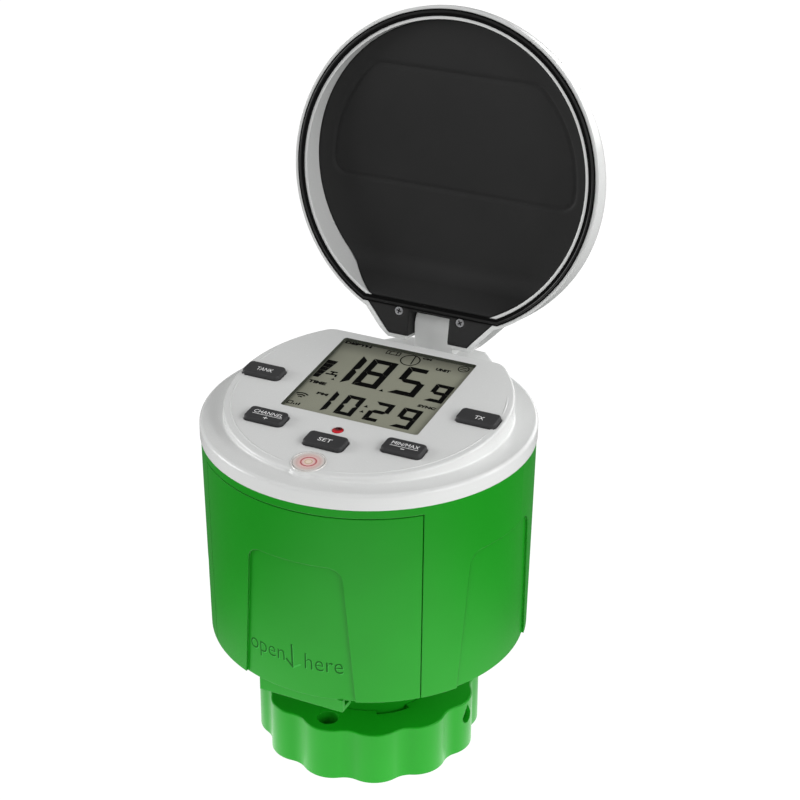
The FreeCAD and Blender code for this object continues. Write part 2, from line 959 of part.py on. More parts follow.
def lid_shell():
    high = line_z + 2 * lid_rise
    cap = cylinder(lid_radius, rim_z, high).common(below_slope(lid_rise))
    cap = cap.makeFillet(lid_round, sloping_rim(cap))
    ears = side_profile(ear_profile(), lid_radius).common(plate(ear_plan(0, web_root), rim_z, high))
    hollow = d_block(lid_inner, chord_wall, rim_z, high).common(below_slope(lid_rise - lid_skin))
    cuts = [hollow, d_block(lid_inner, notch_front, rim_z, plate_top())]
    cuts.append(plate(ear_plan(ear_wall - liner_gap, ear_root), rim_z, plate_top()))
    cuts += [notch(notch_half), seal_ring(rim_z)]
    cuts.append(pin(pin_radius, pin_half))
    tip = lid_screw_seat() + lid_screw_length
    cuts += [cylinder(lid_screw_radius, plate_top(), tip, *place) for place in lid_screw_places()]
    return opened(cap.fuse(ears).cut(cuts).removeSplitter())


def liner_panel():
    # Shallow panel pressed into the liner's floor
    high = line_z + 2 * lid_rise
    panel = d_block(panel_radius, panel_back, rim_z, high).cut(box(-far, far, -far, panel_front, rim_z, high))
    panel = panel.makeFillet(panel_corner, upright_edges(panel))
    return panel.common(below_slope(liner_rise + panel_depth))


def liner_ramp(low):
    # Folded wall from the liner's floor down to the rim behind the display
    fold_z = line_z + liner_rise + liner_fold * slope
    back = notch_front - liner_gap
    outline = [(liner_fold, fold_z), (liner_chord, low), (back, low), (back, plate_top() - liner_gap)]
    outline.append((chord_wall - liner_gap, plate_top() - liner_gap))
    outline.append((liner_fold + liner_thick, fold_z + liner_thick))
    outline.append((liner_fold, fold_z + liner_thick))
    return [line_yz(a, b) for a, b in zip(outline, outline[1:] + outline[:1])]


def lid_liner():
    low = rim_z + plate_inset
    high = line_z + 2 * lid_rise
    radius = lid_inner - liner_gap
    floor = d_block(radius, liner_fold, rim_z, high).common(below_slope(liner_rise + liner_thick))
    floor = floor.cut([below_slope(liner_rise), liner_panel()])
    ramp = side_profile(liner_ramp(low), lid_radius).common(cylinder(radius, rim_z, high))
    clear = Part.makeCylinder(ear_relief, 2 * lid_radius, vec(-lid_radius, hinge_back, hinge_z), across)
    clear = clear.fuse(box(-far, far, -far, hinge_back, rim_z, high))
    ears = plate(ear_plan(ear_wall, ear_root), low, plate_top() - liner_gap).common(clear)
    cuts = [notch(notch_half - cheek_thick), seal_ring(rim_z)]
    for place in lid_screw_places():
        cuts.append(cylinder(lid_screw_head + screw_play, low, lid_screw_seat(), *place))
        cuts.append(cylinder(lid_screw_radius + liner_gap, low, plate_top(), *place))
    cheeks = [notch_cheek(low, side) for side in (-1, 1)]
    return opened(joined(floor, [ramp, ears] + cheeks).cut(cuts).removeSplitter())


def notch_cheek(low, side):
    # Wall that turns up from the liner's plate beside the hinge arm
    inner, outer = sorted((side * (notch_half - cheek_thick), side * (notch_half - liner_gap)))
    wall = box(inner, outer, notch_front, ear_back - ear_wall, low, low + cheek_depth)
    return wall.common(side_profile(ear_profile(), lid_radius))


def lid_seal():
    return opened(seal_ring(rim_z - lid_seal_proud))


def lid_screws():
    # Each head has a cross recess
    low, seat = rim_z + plate_inset, lid_screw_seat()
    half, arm = cross_width / 2, cross_length / 2
    one = screw(lid_screw_head, lid_screw_sink, lid_screw_radius, seat, seat + lid_screw_length)
    slots = [box(-x, x, -y, y, low, low + cross_depth) for x, y in ((half, arm), (arm, half))]
    return Part.makeCompound([opened(at(one.cut(slots), place)) for place in lid_screw_places()])


def hinge_pin():
    return opened(pin(pin_radius, pin_half))


os.makedirs("parts", exist_ok=True)
nodes = (base_ring, base_gasket, sensor_neck, neck_gasket, neck_nut)
nodes += (transducer, transducer_gasket, transducer_retainer, sensor_lead)
nodes += (body_shell, battery_door, battery_tray, battery_cells, battery_contacts)
nodes += (top_housing, housing_seal, housing_screws, display_window, lcd_panel, lcd_frame)
nodes += (main_board, board_screws, tact_switches, status_lamp, level_vial)
nodes += (lid_shell, lid_liner, lid_seal, lid_screws, hinge_pin)
for node in nodes:
    save(node.__name__, node())
for name, place in button_places().items():
    save(name, button(place))
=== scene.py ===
import json
import math
import bpy
import numpy as np
from mathutils import Matrix, Vector


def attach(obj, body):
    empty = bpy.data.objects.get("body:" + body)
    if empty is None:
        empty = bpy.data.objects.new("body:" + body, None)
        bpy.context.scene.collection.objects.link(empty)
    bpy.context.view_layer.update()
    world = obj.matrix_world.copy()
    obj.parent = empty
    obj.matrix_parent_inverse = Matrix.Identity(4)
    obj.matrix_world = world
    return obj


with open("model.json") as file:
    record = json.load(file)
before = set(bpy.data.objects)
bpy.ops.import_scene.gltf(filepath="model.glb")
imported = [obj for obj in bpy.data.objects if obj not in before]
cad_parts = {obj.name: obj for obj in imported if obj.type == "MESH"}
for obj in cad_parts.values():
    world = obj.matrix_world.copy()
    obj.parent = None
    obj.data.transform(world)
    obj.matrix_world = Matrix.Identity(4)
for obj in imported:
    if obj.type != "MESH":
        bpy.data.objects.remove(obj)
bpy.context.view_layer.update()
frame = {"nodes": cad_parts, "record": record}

nodes = frame["nodes"]
shot = bpy.context.scene
mm = 0.001
white = (1.0, 1.0, 1.0, 1.0)
quarterTurn = math.pi / 2
print("solids loaded:", len(nodes))

# where the sloping face lies, in mm: it tips up towards the back about the x axis
slopeFace = {"tilt": math.radians(5.6), "height": 126.998}
# the body's wall is a slow cone, wider at the rim; the grip pad lies a little inside it
bodyWall = {"foot": 44.0, "rim": 115.5, "footRadius": 54.0, "rimRadius": 55.1, "padDepth": 0.8}
# the lid's hinge line, and the angle by which the lid stands open
lidHinge = {"y": 54.0, "z": 130.8, "open": math.radians(100.6)}


def onSlope(u, v, w):
    # a point of the sloping face: u across, v up the slope, w out of it, turned and lifted
    sin, cos = math.sin(slopeFace["tilt"]), math.cos(slopeFace["tilt"])
    y = v * cos - w * sin
    z = v * sin + w * cos + slopeFace["height"]
    return np.stack([u + 0 * y, y, z], -1)


def onPad(u, v, w):
    # a point of the front pad: u along its girth, v its height, w out of it, on the wall's cone
    share = (v - bodyWall["foot"]) / (bodyWall["rim"] - bodyWall["foot"])
    radius = bodyWall["footRadius"] + (bodyWall["rimRadius"] - bodyWall["footRadius"]) * share
    radius = radius - bodyWall["padDepth"] + w
    turn = u / radius
    return np.stack([radius * np.sin(turn), -radius * np.cos(turn), v + 0 * turn], -1)


def onLid(x, y, z):
    # a point of the closed lid, swung open about the hinge line
    sin, cos = math.sin(-lidHinge["open"]), math.cos(-lidHinge["open"])
    dy, dz = y - lidHinge["y"], z - lidHinge["z"]
    swungY = lidHinge["y"] + dy * cos - dz * sin
    swungZ = lidHinge["z"] + dy * sin + dz * cos
    return np.stack([x + 0 * dz, swungY, swungZ], -1)


def easeCurve(share):
    # from 0 to 1 with level ends
    share = np.clip(share, 0, 1)
    return share * share * (3 - 2 * share)


def srgb(*rgb):
    # screen values 0..255 to the linear light that the shaders work in, by the standard curve
    c = np.array(rgb, float) / 255
    linear = np.where(c <= 0.04045, c / 12.92, ((c + 0.055) / 1.055) ** 2.4)
    return (*linear.tolist(), 1.0)


def grey(value):
    return (value, value, value, 1.0)


def addNode(tree, kind, **settings):
    # a shader node with its own settings and its inputs' values set by name
    node = tree.nodes.new("ShaderNode" + kind)
    for name, value in settings.items():
        if hasattr(node, name):
            setattr(node, name, value)
        else:
            node.inputs[name].default_value = value
    return node


def wire(tree, *runs):
    # links, each as (from node, its output, to node, its input)
    for start, outlet, end, inlet in runs:
        tree.links.new(start.outputs[outlet], end.inputs[inlet])


def fadeNode(tree, start, end, **more):
    # 0 at the start value, 1 at the end value, with soft ends
    return addNode(tree, "MapRange", interpolation_type="SMOOTHSTEP",
                   **{"From Min": start, "From Max": end, **more})


def distanceNode(tree, spot):
    # how far the shaded point is from a spot
    place = addNode(tree, "TexCoord")
    away = addNode(tree, "VectorMath", operation="DISTANCE")
    away.inputs[1].default_value = spot
    wire(tree, (place, "Object", away, 0))
    return away


# the shared skin: its sockets, its two noises and the share of a noise that is spread out
skinLook = {
    "inputs": {"Tone": "Color", "Second Tone": "Color", "Patch Scale": "Float",
               "Grain Scale": "Float", "Gloss Low": "Float", "Gloss High": "Float"},
    "outputs": {"Color": "Color", "Roughness": "Float", "Height": "Float"},
    "patch": {"Detail": 3.0, "Roughness": 0.55}, "grain": {"Detail": 2.0, "Roughness": 0.6},
    "spread": {"From Min": 0.3, "From Max": 0.7}, "grainDepth": 0.1 * mm, "edgeSamples": 6,
}


def mouldedSkinGroup(look):
    # moulded plastic: broad soft patches between two tones, a fine spark-eroded grain, uneven gloss
    tree = bpy.data.node_groups.new("mouldedSkin", "ShaderNodeTree")
    for way, sockets in (("INPUT", look["inputs"]), ("OUTPUT", look["outputs"])):
        for name, kind in sockets.items():
            tree.interface.new_socket(name=name, in_out=way, socket_type="NodeSocket" + kind)
    start, end = tree.nodes.new("NodeGroupInput"), tree.nodes.new("NodeGroupOutput")
    place = addNode(tree, "TexCoord")
    patch = addNode(tree, "TexNoise", **look["patch"])
    grain = addNode(tree, "TexNoise", **look["grain"])
    spread = addNode(tree, "MapRange", **look["spread"])
    gloss = addNode(tree, "MapRange", **look["spread"])
    mix = addNode(tree, "MixRGB")
    wire(tree, (place, "Object", patch, "Vector"), (place, "Object", grain, "Vector"),
         (start, "Patch Scale", patch, "Scale"), (start, "Grain Scale", grain, "Scale"),
         (patch, "Fac", spread, "Value"), (spread, "Result", mix, "Fac"),
         (start, "Tone", mix, "Color1"), (start, "Second Tone", mix, "Color2"),
         (grain, "Fac", gloss, "Value"), (start, "Gloss Low", gloss, "To Min"),
         (start, "Gloss High", gloss, "To Max"), (mix, "Color", end, "Color"),
         (gloss, "Result", end, "Roughness"), (grain, "Fac", end, "Height"))
    return tree


mouldedSkin = mouldedSkinGroup(skinLook)


def blankMaterial(name):
    material = bpy.data.materials.new(name)
    material.use_nodes = True
    tree = material.node_tree
    return material, tree, tree.nodes["Principled BSDF"]


def skinMaterial(name, tone, second, patch, grain, gloss, bump, edge=0.0, shine=0.5, **plain):
    # one finish made from the shared skin; plain values go straight on the shader's own sockets
    material, tree, shader = blankMaterial(name)
    skin = addNode(tree, "Group", node_tree=mouldedSkin, Tone=srgb(*tone), **{
        "Second Tone": srgb(*second), "Patch Scale": patch, "Grain Scale": grain,
        "Gloss Low": gloss[0], "Gloss High": gloss[1]})
    relief = addNode(tree, "Bump", Strength=bump, Distance=skinLook["grainDepth"])
    wire(tree, (skin, "Color", shader, "Base Color"), (skin, "Roughness", shader, "Roughness"),
         (skin, "Height", relief, "Height"), (relief, "Normal", shader, "Normal"))
    if edge:
        # eases the moulded edges
        softened = addNode(tree, "Bevel", samples=skinLook["edgeSamples"], Radius=edge * mm)
        wire(tree, (softened, "Normal", relief, "Normal"))
    shader.inputs["Specular IOR Level"].default_value = shine
    for socketName, value in plain.items():
        shader.inputs[socketName].default_value = value
    return material


def clearMaterial(name, tone, second, alpha, gloss):
    # clear plastic that lets what is under it show through; the alpha is a plain value
    material = skinMaterial(name, tone, second, patch=90, grain=900, gloss=gloss, bump=0.0,
                            Alpha=alpha)
    material.surface_render_method = "BLENDED"
    return material


# one finish for each of the record's slots
finishes = {
    "green_shell": skinMaterial("greenShell", (20, 147, 24), (18, 141, 21), patch=22, grain=2400,
                                gloss=(0.3, 0.4), bump=0.05, edge=0.35, shine=0.18),
    "white_shell": skinMaterial("whiteShell", (231, 232, 231), (228, 229, 228), patch=22,
                                grain=2400, gloss=(0.2, 0.28), bump=0.02, edge=0.35, shine=0.45),
    "black_liner": skinMaterial("blackLiner", (49, 49, 49), (45, 45, 45), patch=26, grain=1900,
                                gloss=(0.5, 0.62), bump=0.08, edge=1.3, shine=0.12),
    "key": skinMaterial("keyRubber", (62, 62, 63), (56, 56, 57), patch=60, grain=2200,
                        gloss=(0.42, 0.52), bump=0.1, edge=0.3, shine=0.2),
    "inner_plastic": skinMaterial("innerPlastic", (46, 46, 47), (40, 40, 41), patch=40, grain=2000,
                                  gloss=(0.45, 0.6), bump=0.06, shine=0.3),
    "seal": skinMaterial("sealRubber", (12, 12, 12), (9, 9, 9), patch=60, grain=2400,
                         gloss=(0.4, 0.55), bump=0.08, shine=0.06),
    "lead": skinMaterial("leadJacket", (30, 30, 31), (25, 25, 26), patch=60, grain=2400,
                         gloss=(0.4, 0.5), bump=0.08),
    "board": skinMaterial("circuitLacquer", (20, 84, 46), (14, 68, 38), patch=160, grain=900,
                          gloss=(0.22, 0.34), bump=0.05),
    "steel": skinMaterial("plainSteel", (222, 222, 224), (206, 206, 210), patch=300, grain=3000,
                          gloss=(0.26, 0.4), bump=0.03, Metallic=0.8),
    "contact": skinMaterial("plainBrass", (214, 184, 112), (196, 164, 92), patch=300, grain=3000,
                            gloss=(0.25, 0.38), bump=0.03, Metallic=1.0),
    "cell": skinMaterial("cellSleeve", (120, 122, 126), (104, 106, 110), patch=80, grain=2400,
                         gloss=(0.25, 0.36), bump=0.02, Metallic=0.6),
    "pane": clearMaterial("clearPane", (226, 228, 222), (220, 222, 216), alpha=0.006,
                          gloss=(0.04, 0.07)),
    "vial": clearMaterial("clearVial", (250, 248, 246), (244, 242, 240), alpha=0.1,
                          gloss=(0.04, 0.08)),
}

# the display: grey-green with a faint speckle, and painted shade: darker in a band along its left
# and back edges, as if under the window's wall
displayLook = {
    "tone": (150, 151, 135), "edgeShadeTone": (112, 113, 101),
    "left": (-24.6, -23.2), "back": (31.2, 22.5), "speckle": {"Scale": 900.0, "Detail": 2.0},
    "soft": {"From Min": 0.2, "From Max": 0.8, "To Min": 0.96, "To Max": 1.0},
    "gloss": 0.35, "shine": 0.15,
}


def displayMaterial(look):
    material, tree, shader = blankMaterial("displayGlass")
    place = addNode(tree, "TexCoord")
    apart = addNode(tree, "SeparateXYZ")
    # painted shade: towards the left and back edges the panel fades to the shade tone
    fromLeft = fadeNode(tree, *[distance * mm for distance in look["left"]])
    fromBack = fadeNode(tree, *[distance * mm for distance in look["back"]])
    least = addNode(tree, "Math", operation="MINIMUM")
    speckle = addNode(tree, "TexNoise", **look["speckle"])
    soft = addNode(tree, "MapRange", **look["soft"])
    fade = addNode(tree, "Math", operation="MULTIPLY")
    mix = addNode(tree, "MixRGB", Color1=srgb(*look["edgeShadeTone"]), Color2=srgb(*look["tone"]))
    wire(tree, (place, "Object", apart, "Vector"), (place, "Object", speckle, "Vector"),
         (apart, "X", fromLeft, "Value"), (apart, "Y", fromBack, "Value"),
         (fromLeft, "Result", least, 0), (fromBack, "Result", least, 1),
         (speckle, "Fac", soft, "Value"), (least, "Value", fade, 0), (soft, "Result", fade, 1),
         (fade, "Value", mix, "Fac"), (mix, "Color", shader, "Base Color"))
    shader.inputs["Roughness"].default_value = look["gloss"]
    shader.inputs["Specular IOR Level"].default_value = look["shine"]
    return material


finishes["lcd"] = displayMaterial(displayLook)

# the lamp's lens, with painted shade and light: dark red as painted shade round a spot over the
# sunk chip, bright red as painted light towards its front foot
lampLook = {"bright": (206, 26, 40), "paintedShadeTone": (70, 14, 20), "paintedShadeSpot": (0.05, -21.9, 0.3),
            "reach": (0.8, 1.9), "gloss": 0.12}


def lampMaterial(look):
    material, tree, shader = blankMaterial("redLens")
    # painted shade near the spot over the chip, fading out to painted light towards the front foot
    away = distanceNode(tree, (onSlope(*look["paintedShadeSpot"]) * mm).tolist())
    fade = fadeNode(tree, *[distance * mm for distance in look["reach"]])
    mix = addNode(tree, "MixRGB", Color1=srgb(*look["paintedShadeTone"]), Color2=srgb(*look["bright"]))
    wire(tree, (away, "Value", fade, "Value"), (fade, "Result", mix, "Fac"),
         (mix, "Color", shader, "Base Color"))
    shader.inputs["Roughness"].default_value = look["gloss"]
    return material


finishes["lamp"] = lampMaterial(lampLook)
slotOf = {part["node"]: part["material_slot"] for part in frame["record"]["subparts"]}
for name, solid in nodes.items():
    solid.data.materials.clear()
    solid.data.materials.append(finishes[slotOf[name]])
print("finishes set:", len(finishes))


def makePiece(name, points, faces, material, body, smooth=False):
    # points in mm, faces as rows of indices; the piece then rides on a body
    data = bpy.data.meshes.new(name)
    data.from_pydata((np.asarray(points) * mm).tolist(), [], [list(f) for f in faces])
    data.validate()
    data.polygons.foreach_set("use_smooth", np.full(len(data.polygons), smooth))
    data.materials.append(material)
    data.update()
    piece = bpy.data.objects.new(name, data)
    shot.collection.objects.link(piece)
    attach(piece, body)


def gridFaces(rows, columns, closeColumns=False):
    # quads of a rows x columns grid of points, wrapped round in the column direction if it closes
    r = np.arange(rows - 1)[:, None]
    c = np.arange(columns if closeColumns else columns - 1)[None, :]
    n = (c + 1) % columns
    corners = [r * columns + c, r * columns + n, (r + 1) * columns + n, (r + 1) * columns + c]
    return np.stack(corners, -1).reshape(-1, 4)


def bars(starts, ends, width):
    # flat bars from start to end, a width across, each with a point in the middle of both its ends
    a, b = np.asarray(starts, float), np.asarray(ends, float)
    along = b - a
    along /= np.linalg.norm(along, axis=1, keepdims=True)
    side = np.stack([-along[:, 1], along[:, 0]], -1) * width / 2
    return np.stack([a, a - side, b - side, b, b + side, a + side], 1)


def strokes(pairs, width):
    # bars given as (start, end) pairs
    return bars(*zip(*pairs), width)


def arcBars(middle, radius, line, start=0.0, end=360.0, steps=40):
    # a line of even width along an arc: short bars from point to point of the circle
    turn = np.radians(np.linspace(start, end, steps + 1))
    ring = np.stack([middle[0] + radius * np.cos(turn), middle[1] + radius * np.sin(turn)], -1)
    return bars(ring[:-1], ring[1:], line)


def boxBars(u0, u1, v0, v1, line):
    # the outline of a box: four bars inside its sides
    h = line / 2
    return bars([(u0, v0 + h), (u0, v1 - h), (u0 + h, v0), (u1 - h, v0)],
                [(u1, v0 + h), (u1, v1 - h), (u0 + h, v1), (u1 - h, v1)], line)


def prisms(outlines, low, high):
    # flat outlines (n, k, 2) raised from low to high: points (u, v, w), caps and side quads; an
    # outline that runs clockwise, so that its doubled area is negative, is turned round first
    outlines = np.asarray(outlines, float)
    n, k, _ = outlines.shape
    ahead = np.roll(outlines, -1, 1)
    area = (outlines[..., 0] * ahead[..., 1] - outlines[..., 1] * ahead[..., 0]).sum(1)
    outlines = np.where(area[:, None, None] < 0, outlines[:, ::-1], outlines)
    flat = np.concatenate([outlines, outlines], 1)
    height = np.concatenate([np.full((n, k), low), np.full((n, k), high)], 1)
    points = np.concatenate([flat, height[..., None]], -1).reshape(-1, 3)
    base = (np.arange(n) * 2 * k)[:, None]
    i = np.arange(k)
    j = (i + 1) % k
    caps = np.concatenate([base + i[::-1], base + k + i])
    sides = np.stack([base + i, base + j, base + k + j, base + k + i], -1).reshape(-1, 4)
    return points, [*caps.tolist(), *sides.tolist()]


def merged(shapes):
    # several (points, faces) pairs as one
    points, faces, count = [], [], 0
    for p, f in shapes:
        points.append(np.asarray(p))
        faces += [[i + count for i in face] for face in f]
        count += len(p)
    return np.concatenate(points), faces


def letters(text, width, height, middle, low, high, bold):
    # raised letters of the built-in face, fitted to a box round a middle point
    curve = bpy.data.curves.new("letters", "FONT")
    curve.body = text
    curve.extrude = 0.5
    curve.offset = bold
    curve.resolution_u = 3
    holder = bpy.data.objects.new("letters", curve)
    shot.collection.objects.link(holder)
    bpy.context.view_layer.update()
    solid = holder.evaluated_get(bpy.context.evaluated_depsgraph_get())
    data = bpy.data.meshes.new_from_object(solid)
    points = np.zeros(len(data.vertices) * 3)
    data.vertices.foreach_get("co", points)
    points = points.reshape(-1, 3)
    faces = [list(p.vertices) for p in data.polygons]
    bpy.data.objects.remove(holder)
    bpy.data.curves.remove(curve)
    bpy.data.meshes.remove(data)
    lo, hi = points.min(0), points.max(0)
    unit = (points - lo) / (hi - lo)
    u = (unit[:, 0] - 0.5) * width + middle[0]
    v = (unit[:, 1] - 0.5) * height + middle[1]
    return np.stack([u, v, low + unit[:, 2] * (high - low)], -1), faces


def wordShapes(words, low, high, bold=0.0):
    # raised letters for each (word, u, v, width, height)
    return [letters(word, width, height, (u, v), low, high, bold)
            for word, u, v, width, height in words]


def ringBand(middle, radius, width, low, crown, turns=72, across=7):
    # a band round a middle point: the angle goes round it, the second value runs across its width
    # and lifts it in a low arch
    turn = np.linspace(0, 2 * math.pi, turns, endpoint=False)[None, :]
    lean = np.linspace(-1, 1, across)[:, None]
    reach = radius + lean * width / 2
    lift = low + crown * (1 - lean ** 2)
    u = middle[0] + reach * np.cos(turn)
    v = middle[1] + reach * np.sin(turn)
    points = np.stack([u, v, lift + 0 * turn], -1).reshape(-1, 3)
    return points, gridFaces(across, turns, True)[:, ::-1].tolist()


# figures of the display, just above its face; places measured across and up the slope in mm
displayArt = {
    "level": (-1.38, -1.34), "line": 0.32, "bold": 0.06,
    "big": {"stroke": 2.35, "gap": 0.05, "corner": 0.14},
    "small": {"stroke": 1.75, "gap": 0.05, "corner": 0.12},
    "bigFigures": [("1", -14.0, -4.0, 5.8, 24.3), ("8", -9.9, -0.8, 6.4, 24.0),
                   ("5", 3.2, 12.9, 6.4, 23.9)],
    "smallFigures": [("9", 16.4, 22.9, 6.4, 17.3), ("1", -12.1, -6.0, -12.4, 0.7),
                     ("0", -7.4, -1.0, -11.8, 0.05), ("2", 2.9, 9.7, -11.7, -0.1),
                     ("9", 12.9, 19.7, -11.9, -0.05)],
    "lit": {"0": "abcdef", "1": "ef", "2": "abged", "5": "afgcd", "8": "abcdefg", "9": "abcdfg"},
    "dots": [(1.2, 6.6, 0.8), (1.0, -4.2, 0.75), (1.1, -7.5, 0.75)], "drop": (-16.9, 6.9, 0.6),
    "dotCorners": [(-1.0, -0.8), (1.0, -0.8), (0.0, 1.0)],
    "clock": {"middle": (1.7, 27.6), "radius": 3.3, "line": 0.4,
              "hand": ((2.9, 25.3), (2.3, 30.7))},
    "words": [("DEPTH", -19.2, 30.4, 10.0, 1.4), ("TIME", -20.8, 3.15, 6.5, 1.75),
              ("PM", -15.8, -2.8, 4.0, 1.45), ("SYNC", 19.4, 2.7, 6.3, 1.5),
              ("CM", 6.7, 30.4, 3.3, 1.15), ("UNIT", 14.7, 25.75, 5.2, 1.6)],
    "fill": {"left": -24.2, "right": (-22.2, -20.4), "foot": 6.2, "top": 17.8, "rows": 5,
             "gap": 0.14},
    "cell": (-8.2, -3.0, 28.6, 30.9), "cellBars": (-6.9, -4.3),
    "charge": (-24.4, -22.4, -12.1, -10.2),
    "tap": [((-20.9, 9.3), (-17.2, 9.5)), ((-18.9, 9.4), (-18.6, 11.0)),
            ((-19.9, 11.0), (-17.3, 11.1)), ((-17.1, 9.9), (-16.9, 8.3))], "tapLine": 0.7,
    "wave": {"middle": (20.7, 29.1), "radius": 1.8, "steps": 24,
             "bars": [((19.6, 28.6), (21.8, 28.6)), ((19.6, 29.7), (21.8, 29.7))]},
    "fan": {"middle": (-21.9, -8.0), "radii": (1.1, 2.2, 3.3), "spread": (50.0, 130.0), "steps": 8,
            "line": 0.55},
    "signal": [((-21.8, -12.0), (-21.8, -11.3)), ((-20.9, -12.0), (-20.9, -10.9)),
               ((-20.0, -12.0), (-20.0, -10.5))], "signalLine": 0.5,
}


def figureBars(lit, u0, u1, v0, v1, stroke, gap, corner):
    # seven bars on the sides and the waist of a box, the lit ones only: the sides meet in mitred
    # ends a hair apart, the right bars keep their outer corners, and the waist has pointed ends
    s, g, c, h = stroke, gap, corner, stroke / 2
    waist, middle = (v0 + v1) / 2, (u0 + u1) / 2
    left, right = u0 + s + g, u1 - s - g
    foot, top = v0 + s + g, v1 - s - g
    low, high = waist - g, waist + g
    shapes = {
        "a": [(u0 + c, v1), (middle, v1), (right, v1), (right, v1 - s), (middle, v1 - s),
              (left, v1 - s)],
        "b": [(u1 - s, v1), (u1 - c, v1), (u1, v1 - c), (u1, high), (u1 - h, high),
              (u1 - s, high + h)],
        "c": [(u1, low), (u1, v0 + c), (u1 - c, v0), (u1 - s, v0), (u1 - s, low - h),
              (u1 - h, low)],
        "d": [(u0 + c, v0), (middle, v0), (right, v0), (right, v0 + s), (middle, v0 + s),
              (left, v0 + s)],
        "e": [(u0, v0 + c), (u0 + s, foot), (u0 + s, low - h), (u0 + h, low), (u0, low),
              (u0, (v0 + waist) / 2)],
        "f": [(u0, v1 - c), (u0 + s, top), (u0 + s, high + h), (u0 + h, high), (u0, high),
              (u0, (v1 + waist) / 2)],
        "g": [(u0 + h + g, waist), (left, waist + h), (right, waist + h), (u1 - h - g, waist),
              (right, waist - h), (left, waist - h)],
    }
    return np.array([shapes[letter] for letter in lit])


def fillRows(fill):
    # rows one above the other, whose right ends lie on one slanted line
    step = (fill["top"] - fill["foot"]) / fill["rows"]
    foot = fill["foot"] + step * np.arange(fill["rows"])
    top = foot + step - fill["gap"]
    ends = [np.interp(v, (fill["foot"], fill["top"]), fill["right"]) for v in (foot, top)]
    left = np.full(fill["rows"], fill["left"])
    return np.array([[left, *ends, left], [foot, foot, top, top]]).T


def displayFigures(art):
    # every mark is a set of flat outlines raised a hair, and every word is raised letters
    clock, wave, fan, line = art["clock"], art["wave"], art["fan"], art["line"]
    outlines = [figureBars(art["lit"][mark], *box, **art[size])
                for size in ("big", "small") for mark, *box in art[size + "Figures"]]
    outlines.append(arcBars(clock["middle"], clock["radius"], clock["line"]))
    outlines.append(strokes([clock["hand"]], clock["line"]))
    outlines.append(arcBars(wave["middle"], wave["radius"], line, steps=wave["steps"]))
    outlines.append(strokes(wave["bars"], line))
    outlines += [arcBars(fan["middle"], radius, fan["line"], *fan["spread"], steps=fan["steps"])
                 for radius in fan["radii"]]
    outlines += [boxBars(*art[box], line) for box in ("cell", "charge")]
    v0, v1 = art["cell"][2:]
    outlines.append(strokes([((u, v0), (u, v1)) for u in art["cellBars"]], line))
    outlines += [strokes(art[mark], art[mark + "Line"]) for mark in ("tap", "signal")]
    dots = np.array([*art["dots"], art["drop"]])[:, None]
    outlines += [fillRows(art["fill"]), dots[..., :2] + np.array(art["dotCorners"]) * dots[..., 2:]]
    shapes = [prisms(outline, *art["level"]) for outline in outlines]
    points, faces = merged(shapes + wordShapes(art["words"], *art["level"], art["bold"]))
    ink = skinMaterial("displayInk", (3, 3, 3), (2, 2, 2), patch=200, grain=2600, gloss=(0.5, 0.6),
                       bump=0.0, shine=0.02)
    makePiece("displayFigures", onSlope(*points.T), faces, ink, "gauge")


displayFigures(displayArt)
print("display figures drawn")

# a dark band of painted shade lines the window's wall, in the gap beside the pane, standing for the
# wall's shade; a film covers the panel
paneShadeBand = {"half": 24.7, "low": -15.55, "high": 31.35, "corner": 1.0, "inset": (0.02, 0.13),
            "foot": -1.39, "top": -0.16, "film": -1.39, "filmInset": 0.14}


def framePath(look, inset, steps=8):
    # a box with round corners, gone round once: each is a quarter circle about its own middle
    turn = np.linspace(0, quarterTurn, steps)[None, :] + (np.arange(4) * quarterTurn)[:, None]
    corner, reach = look["corner"], look["corner"] - inset
    right, low, high = look["half"] - corner, look["low"] + corner, look["high"] - corner
    u = np.array([right, -right, -right, right])[:, None] + reach * np.cos(turn)
    v = np.array([high, high, low, low])[:, None] + reach * np.sin(turn)
    return np.stack([u.ravel(), v.ravel()], -1)


def shadeBandSurface(look):
    # a small box profile carried round the frame: outer and inner path, each at foot and top
    near, far = [framePath(look, inset) for inset in look["inset"]]
    foot, top = look["foot"], look["top"]
    loops = [(near, foot), (near, top), (far, top), (far, foot), (near, foot)]
    points = np.concatenate([np.insert(path, 2, w, axis=1) for path, w in loops])
    return points, gridFaces(len(loops), len(near), True).tolist()


# the film is flat and lies just over the panel
film = framePath(paneShadeBand, paneShadeBand["filmInset"])
makePiece("displayFilm", onSlope(*film.T, paneShadeBand["film"]), [range(len(film))], finishes["lcd"],
          "gauge")
points, faces = shadeBandSurface(paneShadeBand)
# the band's dark tone is painted shade on the window's wall
paintedShadeBand = skinMaterial("windowShadeBand", (66, 69, 60), (60, 63, 54), patch=200, grain=2400,
                        gloss=(0.4, 0.5), bump=0.0, shine=0.1)
makePiece("paneShadeBand", onSlope(*points.T), faces, paintedShadeBand, "gauge")
print("window seal and film laid")

# the platform's foot runs out onto the ledge in a small hollow curve, round the front and the sides
platformCove = {"radius": 47.5, "bulgeAt": 42.2, "bulge": 6.4, "ledge": 120.9, "curve": 0.6,
                "least": 0.002, "half": 122.0, "taper": 14.0}


